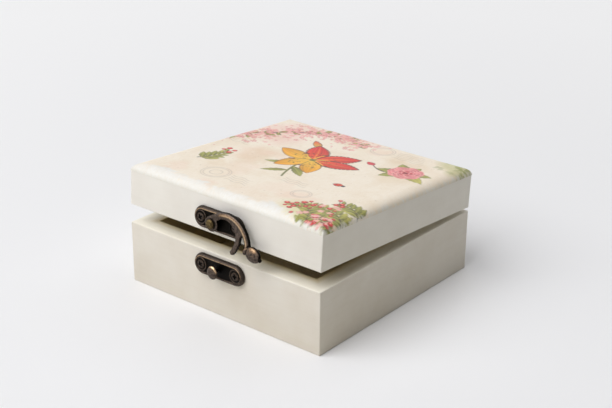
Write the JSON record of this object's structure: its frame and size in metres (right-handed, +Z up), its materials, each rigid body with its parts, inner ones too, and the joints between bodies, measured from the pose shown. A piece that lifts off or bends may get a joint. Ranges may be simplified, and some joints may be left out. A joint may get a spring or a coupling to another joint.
{
  "type": "trinket box",
  "caption": "Square painted wooden trinket box with a hinged lid, a papered top with rounded edges and a swing-hook latch on the front.",
  "frame": {"origin": "centre of the flat underside of the base, on the surface that the box stands on", "axes": "+X to the right along the latch face, +Y from the latch face to the hinges, +Z up"},
  "size_m": [0.12, 0.1304, 0.0625],
  "materials": {
    "cream_paint": "satin cream paint over sanded wood",
    "painted_board": "cream-painted thin board",
    "printed_paper": "printed cream paper under satin varnish",
    "antique_bronze": "dark antique bronze, rubbed bright on its edges",
    "worn_brass": "worn brass"
  },
  "bodies": {
    "base": {"base_front_wall": "cream_paint", "base_back_wall": "cream_paint", "base_left_wall": "cream_paint", "base_right_wall": "cream_paint", "base_floor": "painted_board", "left_hinge_base_leaf": "antique_bronze", "left_hinge_pin": "antique_bronze", "left_hinge_base_outer_screw": "antique_bronze", "left_hinge_base_inner_screw": "antique_bronze", "right_hinge_base_leaf": "antique_bronze", "right_hinge_pin": "antique_bronze", "right_hinge_base_outer_screw": "antique_bronze", "right_hinge_base_inner_screw": "antique_bronze", "catch_plate": "antique_bronze", "catch_plate_left_screw": "antique_bronze", "catch_plate_right_screw": "antique_bronze", "catch_stud": "antique_bronze"},
    "lid": {"lid_front_wall": "cream_paint", "lid_back_wall": "cream_paint", "lid_left_wall": "cream_paint", "lid_right_wall": "cream_paint", "lid_top_panel": "cream_paint", "lid_paper": "printed_paper", "left_hinge_lid_leaf": "antique_bronze", "left_hinge_lid_outer_screw": "antique_bronze", "left_hinge_lid_inner_screw": "antique_bronze", "right_hinge_lid_leaf": "antique_bronze", "right_hinge_lid_outer_screw": "antique_bronze", "right_hinge_lid_inner_screw": "antique_bronze", "hook_plate": "antique_bronze", "hook_plate_left_screw": "antique_bronze", "hook_plate_right_screw": "antique_bronze", "hook_rivet": "worn_brass"},
    "hook": {"swing_hook": "antique_bronze"}
  },
  "joints": [
    {"name": "lid_hinge", "type": "hinge", "parent": "base", "child": "lid", "pos_m": [0, 0.0618, 0.03275], "axis": [-1, 0, 0], "range_deg": [-4.3, 176.2]},
    {"name": "hook_pivot", "type": "hinge", "parent": "lid", "child": "hook", "pos_m": [-0.0017, -0.05923, 0.04845], "axis": [0, -0.9979, 0.0654], "range_deg": [-56, 60]}
  ]
}
